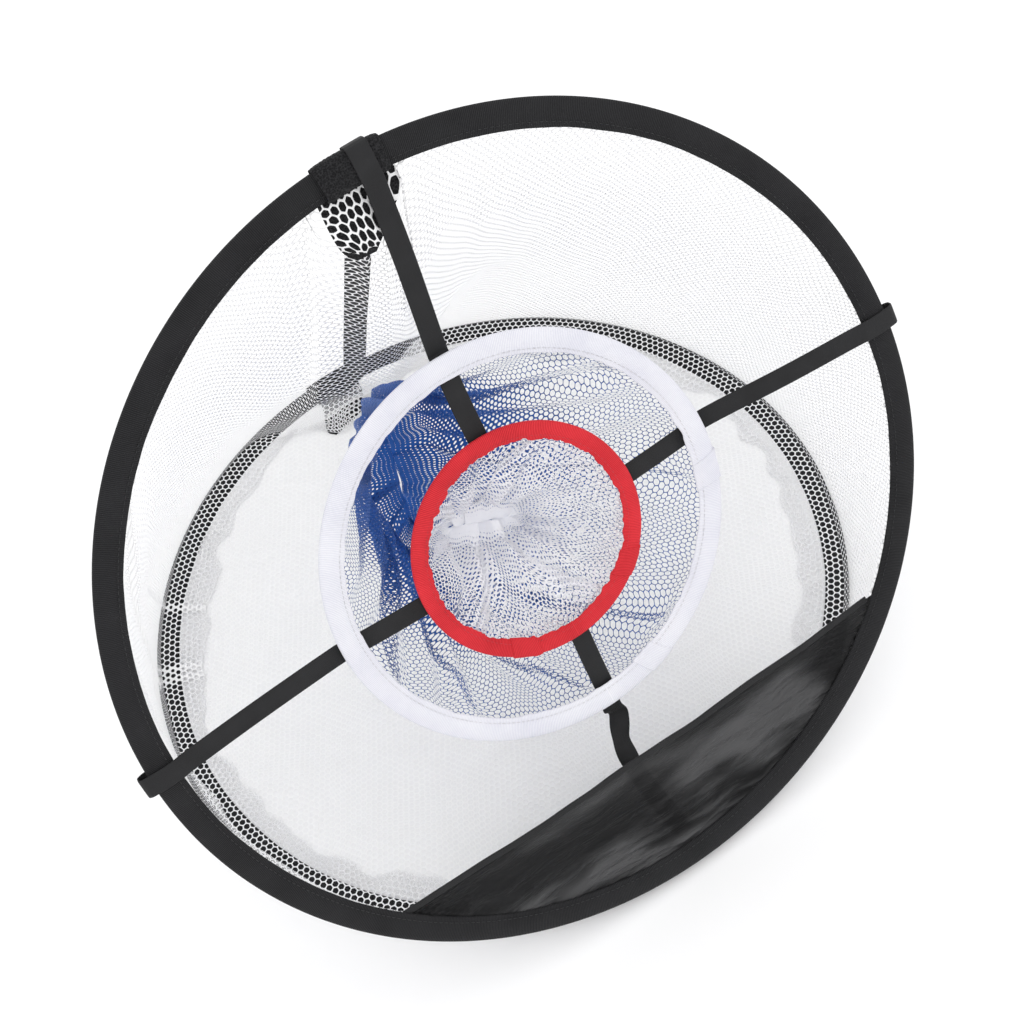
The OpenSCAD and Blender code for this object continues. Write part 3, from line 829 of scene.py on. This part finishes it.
def make_wall():
    """The slack wall: down from the front hoop, over the base band, and folded under itself inside."""
    a = np.linspace(WALL_GAP, 2 * math.pi - WALL_GAP, 560)[:, None]
    where, weights = bend_weights([(20, 1), (44, 1), (52, 1.9), (20, 1), (22, 1), (18, 1), (16, 1)])
    # t: -1 front hoop, 0 hem, 1 middle, 2 foot, 3 over, 4 flat, 5 under, 6 sewn
    t = where[None] - 1
    s = (a - math.pi) * NET_EDGE + 0 * t
    shift, layer = 0 * s, 0 * s
    # middle at the front hoop, drift by the ground, width, strength, thickness, how far down it runs
    folds = [(30, 62, 8, 1.6, 3.0, 1.9), (-13, -12, 3.5, 1.7, 4.0, 0.62), (-28, -25, 5, 1.8, 3.5, 0.8),
             (215, 130, 20, 1.3, 2.5, 2.2)]
    for middle, drift, width, strength, thick, reach in folds:
        runs = smooth((t + 0.9) / 0.5) * (1 - smooth((t - reach * 0.6) / (reach * 0.4)))
        along, out = fold_over(s, (middle + drift * np.clip(t, 0, 2) / 2) * MM, width * MM, strength * runs)
        shift = shift + along
        layer = layer + out * thick * MM * runs
    a2 = a + shift / NET_EDGE
    sn, cs = np.sin(a2), -np.cos(a2)

    def on_ground(radius, z):
        return ground(radius * sn, radius * cs, z)

    height = NET_EDGE * (1 + np.cos(math.pi + a2)) * math.sin(TILT) + HINGE[2]
    room = smooth(height / (70 * MM))
    slack = 17 * MM + ripple(a * 2.6, 0, 33) * 12 * MM + ripple(a * 11, 0, 34) * 9 * MM
    slack = np.maximum(slack, 6 * MM) * (0.3 + 0.7 * room) + 33 * MM * bell(s + 8 * MM, 42 * MM, 4)
    # by the strut the wall comes down inside the band, so that the strut stands clear behind it
    land = OUTSIDE - 3 * MM - (MM + 1.5 * MM * ripple(a * 3, 0, 37)) * room
    land = land - (land - INSIDE + 19 * MM) * bell(s, 62 * MM, 4)
    edge = np.minimum(land - 7 * MM, INSIDE + MM)
    on_patch = bell(s, 28 * MM, 4) * 2.6 * MM
    on_band = smooth((land - INSIDE + 4 * MM) / (8 * MM))
    lay = BAND_T + MM
    top = front(NET_EDGE * sn, NET_EDGE * cs, -1.7 * MM)
    foot = on_ground(land, 5 * MM + (lay - 5 * MM) * on_band + on_patch)
    inward = np.stack([-sn, -0.89 * cs, -0.45 * cs], -1)
    inward /= np.linalg.norm(inward, axis=-1)[..., None]
    span = np.linalg.norm(top - foot, axis=-1)
    sag = span * (0.008 + 0.012 * ripple(a * 1.7, 0, 35) + 0.105 * bell(s, 95 * MM)) * room
    middle = (top + foot) / 2 + inward * sag[..., None]
    # the net is drawn forward over the top patch's flap before it drops, but stays behind the top strap
    drawn = bell(s, 27 * MM, 4)
    hem_at = NET_EDGE - (3 * MM + drawn * (38 * MM + 5 * MM * ripple(a * 30, 0, 38)))
    hem = front(hem_at * sn, hem_at * cs, -3.2 * MM - 2.4 * MM * drawn * smooth((sn * NET_EDGE) / (8 * MM)))
    over = on_ground(edge, 4.6 * MM + (lay - 4.6 * MM) * on_band + on_patch * 0.8)
    flat = on_ground(INSIDE - 0.6 * slack, 4.2 * MM + on_patch * 0.6)
    under = on_ground(INSIDE - slack, 3.1 * MM + on_patch * 0.3)
    sewn = on_ground(INSIDE + MM, 2.4 * MM)
    keys = np.stack([top, hem, middle, foot, over, flat, under, sewn], 2)
    points = np.einsum("jk,ijkx->ijx", weights, keys)
    hang = smooth((t + 0.2) / 0.7) * smooth((2.0 - t) / 0.5)
    big = ripple(a * 2.4, t * 0.8, 31, 1.5) * 8 * MM
    small = ripple(a * 11, t * 1.6, 32, 1.2) * 1.8 * MM
    lip = ripple(a * 16, t * 2.5, 36) * 0.8 * MM * smooth((t - 2) / 0.4) * smooth((4.8 - t) / 0.6)
    out = hang * (big + small) * np.clip(span / 0.25, 0.05, 1) + layer
    points = points + out[..., None] * inward + np.maximum(lip, -0.3 * MM)[..., None] * [0, 0, 1.0]
    run = np.linalg.norm(np.diff(points, axis=1), axis=2)
    v = np.concatenate([0 * a, np.cumsum(run, axis=1)], 1)
    # measured from the foot and evened out along the wall, so that the honeycomb isn't sheared
    foot_at = int(np.abs(t[0] - 2.0).argmin())
    v = v - v[:, foot_at:foot_at + 1]
    some = np.arange(0, len(a), 24)
    v = np.stack([np.interp(np.arange(len(a)), some, column[some]) for column in v.T], 1)
    # threads drawn together: a bunch beside the top flap, and tucks over the base band on the left
    beside = bell(s + (6 + 11 * (t + 1)) * MM, 3.6 * MM) * smooth((t + 0.95) / 0.2)
    beside = beside * (1 - smooth((t - 0.5) / 0.5)) * 1.5
    tucks = sum(bell(s - at * MM, 2.6 * MM) for at in (238, 292, 301)) * smooth((t - 1.0) / 0.6)
    obj = grid("net_wall_mesh", points, s, v, WHITE_NET, gather=beside + 1.8 * tucks)
    bend_by_angle(obj)
    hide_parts("net_wall")


def make_floor_net():
    around = 240
    r = np.linspace(0.002, 1, 70)[:, None] * NET_EDGE
    turn = (np.arange(around + 1) / around * 2 * math.pi)[None]
    x, y = r * np.cos(turn[:, :-1]), r * np.sin(turn[:, :-1])
    z = 2.1 * MM + ripple(x, y, 41, 9) * MM
    slack = ripple(x + 0.25 * y, 0.22 * y, 42, 26) * 2.6 * MM * smooth((0.03 - y) / 0.10)
    slack = slack + ripple(x, y, 43, 13) * 1.6 * MM
    z = z + np.maximum(slack, -1.2 * MM) * (1 - smooth((r - 0.135) / 0.05))
    crease = bell(y + 0.16 * x - 60 * MM, 1.6 * MM) + bell(y + 0.1 * x + 120 * MM, 1.6 * MM)
    z = z + crease * 0.9 * MM
    # the outer 12 mm climbs to the band's seam
    rim = NET_EDGE - 12 * MM
    z = np.where(r > rim, z + (r - rim) / (12 * MM) * 0.8 * MM, z)
    obj = grid("floor_cloth", ground(x, y, z), r * np.cos(turn), r * np.sin(turn), FLOOR_NET, False, True)
    put(obj, "base", "white_mesh", "floor_net")


def bag(name, mouth, depth, end, half, lean, material, seed, pleats, creases, gathered, close_up, rows=110,
        turns=520):
    """Mesh bag sewn to a ring: shallow at first, then narrowed in pleats to a flattened end."""
    t = np.linspace(0, 1, rows)[:, None]
    a = (np.arange(turns) / turns * 2 * math.pi)[None]

    def round_ripple(scale, down, more):
        """Noise that closes on itself round the bag."""
        return ripple(np.cos(a) * scale, np.sin(a) * scale + t * down, seed + more)

    stages = [0, 0.18, 0.4, 0.62, 0.8, 0.93, 1]
    narrow = np.interp(t, stages, [0, 0.10, 0.34, 0.64, 0.86, 1, 1])
    back = np.interp(t, stages, [0, 0.05, 0.17, 0.38, 0.64, 0.92, 1])
    narrow[1:] = 0.75 * narrow[1:] + 0.25 * narrow[:-1]
    closing = 1 - smooth((t - 0.94) / 0.06) * 0.998
    shift, layer = 0 * t + 0 * a, 0 * t + 0 * a
    for middle, drift, width, strength in creases:
        q = (a - middle - drift * t + math.pi) % (2 * math.pi) - math.pi
        runs = smooth((t - 0.02) / 0.2)
        along, out = fold_over(q, 0, width, strength * runs)
        shift, layer = shift + along, layer + out * 2.2 * MM * runs
    turned = a + shift
    major = (mouth * (1 - narrow) + half[0] * narrow) * (0.75 + 0.25 * closing)
    minor = (mouth * (1 - narrow) + half[1] * narrow) * closing
    # cloth that the narrowing bag has no room for goes into the pleats
    round_now = 2 * math.pi * np.sqrt((major ** 2 + minor ** 2) / 2)
    spare = np.sqrt(np.maximum((2 * math.pi * mouth) ** 2 - round_now ** 2, 0)) / pleats
    ruck = 0.235 * spare * np.sin(turned * pleats + 4 * round_ripple(1.3, 1, 0))
    ruck = ruck * (0.75 + 0.5 * round_ripple(3, 0, 1)) * (1 - 0.75 * smooth((t - 0.82) / 0.15))
    loose = smooth(t / 0.2)
    wave = round_ripple(1.6, 1.5, 2) * mouth * 0.09 * loose * (1 - 0.6 * t)
    p = (major + ruck + wave) * np.cos(turned - lean)
    q = (minor + (ruck + wave) * closing) * np.sin(turned - lean)
    go = smooth(t * 0.9) * 0.55 + 0.45 * narrow
    x = p * math.cos(lean) - q * math.sin(lean) + end[0] * go
    v = p * math.sin(lean) + q * math.cos(lean) + end[1] * go
    w = -RING_T / 2 - 1.9 * MM * (1 - t) - back * depth + layer
    w = w + round_ripple(2.5, 3, 3) * mouth * 0.07 * loose
    points = at_rings(x, v, w)
    step = np.linalg.norm(np.diff(points, axis=0), axis=2).mean(1)
    run = np.concatenate([[0], np.cumsum(step)])[:, None]
    u = (np.arange(turns + 1) / turns * 2 * math.pi * mouth)[None]
    gather = smooth((t - gathered) / (0.86 - gathered)) * close_up + smooth((t - 0.95) / 0.04) * 2.5
    obj = grid(name, points, u, run, material, False, True, gather)
    return obj, 2 * math.pi * mouth, float(run[-1, 0])


def make_pockets():
    # each crease: where it starts round the mouth, its drift down the bag, its width and its strength
    blue_creases = [(0.5, 0.5, 0.10, 2.3), (1.35, 0.6, 0.09, 2.4), (2.2, 0.3, 0.08, 2.0),
                    (3.5, -0.3, 0.12, 2.4), (4.05, -0.4, 0.08, 2.3), (4.75, -0.9, 0.07, 2.5),
                    (5.35, -0.7, 0.09, 2.4), (6.0, 0.2, 0.07, 1.9)]
    pale_creases = [(0.9, 0.6, 0.16, 2.2), (2.4, -0.5, 0.14, 2.3), (3.7, 0.5, 0.15, 2.2),
                    (5.2, -0.4, 0.13, 2.4)]
    outer, girth, length = bag(
        "outer_pocket_mesh", mouth=MIDDLE - 2 * MM, depth=130 * MM, end=(-30 * MM, 33 * MM),
        half=(55 * MM, 28 * MM), lean=math.radians(77), material=BLUE_NET, seed=51, pleats=22,
        creases=blue_creases, gathered=0.40, close_up=3.2)
    put(outer, "target", "blue_mesh", "outer_pocket")
    inner, girth, length = bag(
        "inner_pocket_mesh", mouth=INNER - MM, depth=52 * MM, end=(-12 * MM, 2 * MM),
        half=(30 * MM, 15 * MM), lean=math.radians(-24), material=LILAC_NET, seed=61, pleats=13,
        creases=pale_creases, gathered=0.35, close_up=1.2, rows=90, turns=400)
    put(inner, "target", "lilac_mesh", "inner_pocket")
    for pocket in (outer, inner):
        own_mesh(pocket)


def thicken(obj, thickness, offset):
    solid = obj.modifiers.new("thickness", "SOLIDIFY")
    solid.thickness, solid.offset = thickness, offset


def wrap_patch(name, place, middle, seed, closed):
    """Hook-and-loop wrap round a band: a rough-edged sleeve over a short arc of it."""
    half = 20 * MM
    n_round = 64
    s = np.linspace(-1, 1, 70)[:, None]
    across, out = (side[None] for side in oval(n_round, BAND_W / 2 + 1.5 * MM, BAND_T / 2 + 1.5 * MM, 3.2))
    rough = ripple(s * 30, np.arange(n_round)[None] * 0.9, seed) * 0.35 * MM
    soft = (1 - np.abs(s) ** 14) * 0.6 * MM
    grown = 1 + (rough + soft) / np.hypot(across, out)
    out = out * grown
    if not closed:
        out = np.maximum(out, -BAND_T / 2 + 0.05 * MM)
    angle = middle + s * half / HOOP
    radius = HOOP + across * grown
    points = place(radius * np.sin(angle), -radius * np.cos(angle), out)
    v = (np.arange(n_round + 1) * 0.8 * MM)[None]
    obj = grid(name, points, s * half, v, PILE, False, True)
    thicken(obj, MM, -1)
    return obj


def make_patches():
    top = wrap_patch("top_patch_pile", front, math.pi - 4 * MM / HOOP, 71, True)
    put(top, "front", "hook_and_loop", "top_patch")
    foot = wrap_patch("foot_patch_pile", at_base, math.pi, 72, False)
    put(foot, "base", "hook_and_loop", "strut_foot_patch")


def strut_point(x, side, along):
    """Point of the shared frame, given across the strut, out of its back and up from its foot."""
    back = np.cross(STRUT_DIR, [1.0, 0, 0])
    x, side, along = np.broadcast_arrays(np.asarray(x, float), side, along)
    return FOOT + x[..., None] * [1.0, 0, 0] + side[..., None] * back + along[..., None] * STRUT_DIR


def make_strut():
    n_round = 40
    half = 10 * MM
    s = np.linspace(0, 1, 260)[:, None]
    across, out = oval(n_round, half, 1.2 * MM, 3.0)
    over_rod = 2.1 * MM * bell(across, 3.6 * MM) * np.sign(out)
    wave = ripple(s * 9, 0.3 * np.arange(n_round)[None], 81) * 0.5 * MM
    sway = ripple(s * 5, 0, 82) * 0.6 * MM
    points = strut_point(across[None] + sway, (out + over_rod)[None] + wave * (np.abs(across) / half)[None],
                         s * STRUT_LEN)
    obj = grid("strut_webbing", points, s * STRUT_LEN, round_section(across, out), BLACK_WEB, False, True)
    close_ends(obj, n_round)
    put(obj, "strut", "black_webbing", "strut_sleeve")


def cloth_tab(name, place, outline, seed, thick, lift):
    """Flat tab of hook-and-loop cloth: outline gives its two side edges from root to tip, in mm."""
    rows = 44
    left, right = (through(np.array(side) * MM, rows) for side in outline)
    s = np.linspace(0, 1, 36)[:, None, None]
    flat = left[None] * (1 - s) + right[None] * s
    x, y = flat[..., 0], flat[..., 1]
    up = lift + ripple(x * 60, y * 60, seed) * 0.9 * MM * smooth(np.linspace(0, 1, rows) / 0.3)[None]
    obj = grid(name, place(x, y, up), x, y, PILE)
    thicken(obj, thick, 1)
    return obj


def make_flaps():
    def hung(x, y, z):
        return front(x, HOOP - 5 * MM - y, -BAND_T / 2 - 3.2 * MM + z)

    def laid(x, y, z):
        return ground(x, INSIDE - y, z)

    sides = [(-20, 0), (-21, 20), (-20, 34), (-15, 42)], [(27, 4), (26, 18), (13, 30), (-3, 43)]
    tab = cloth_tab("top_patch_tab", hung, sides, 91, 1.2 * MM, 0.0)
    put(tab, "front", "hook_and_loop", "top_patch_flap")
    sides = [(-17, -1), (-20, 12), (-27, 30), (-23, 38)], [(18, -1), (17, 10), (10, 27), (-4, 34)]
    put(cloth_tab("foot_patch_tab", laid, sides, 92, 1.3 * MM, 2.6 * MM), "base", "hook_and_loop")


make_hoops()
make_rings()
make_laps()
make_straps()
make_apron()
make_wall()
make_floor_net()
make_pockets()
make_patches()
make_strut()
make_flaps()


def add_floor():
    half, below = 4, -0.0006
    corners = [(x * half, y * half, below) for x, y in ((-1, -1), (1, -1), (1, 1), (-1, 1))]
    mesh = bpy.data.meshes.new("studio_floor")
    mesh.from_pydata(corners, [], [(0, 1, 2, 3)])
    n = Nodes("studio_floor")
    mesh.materials.append(n.finish(n.principled(Base_Color=(0.94, 0.94, 0.945), Roughness=0.9)))
    add_object("studio_floor", mesh)


add_floor()
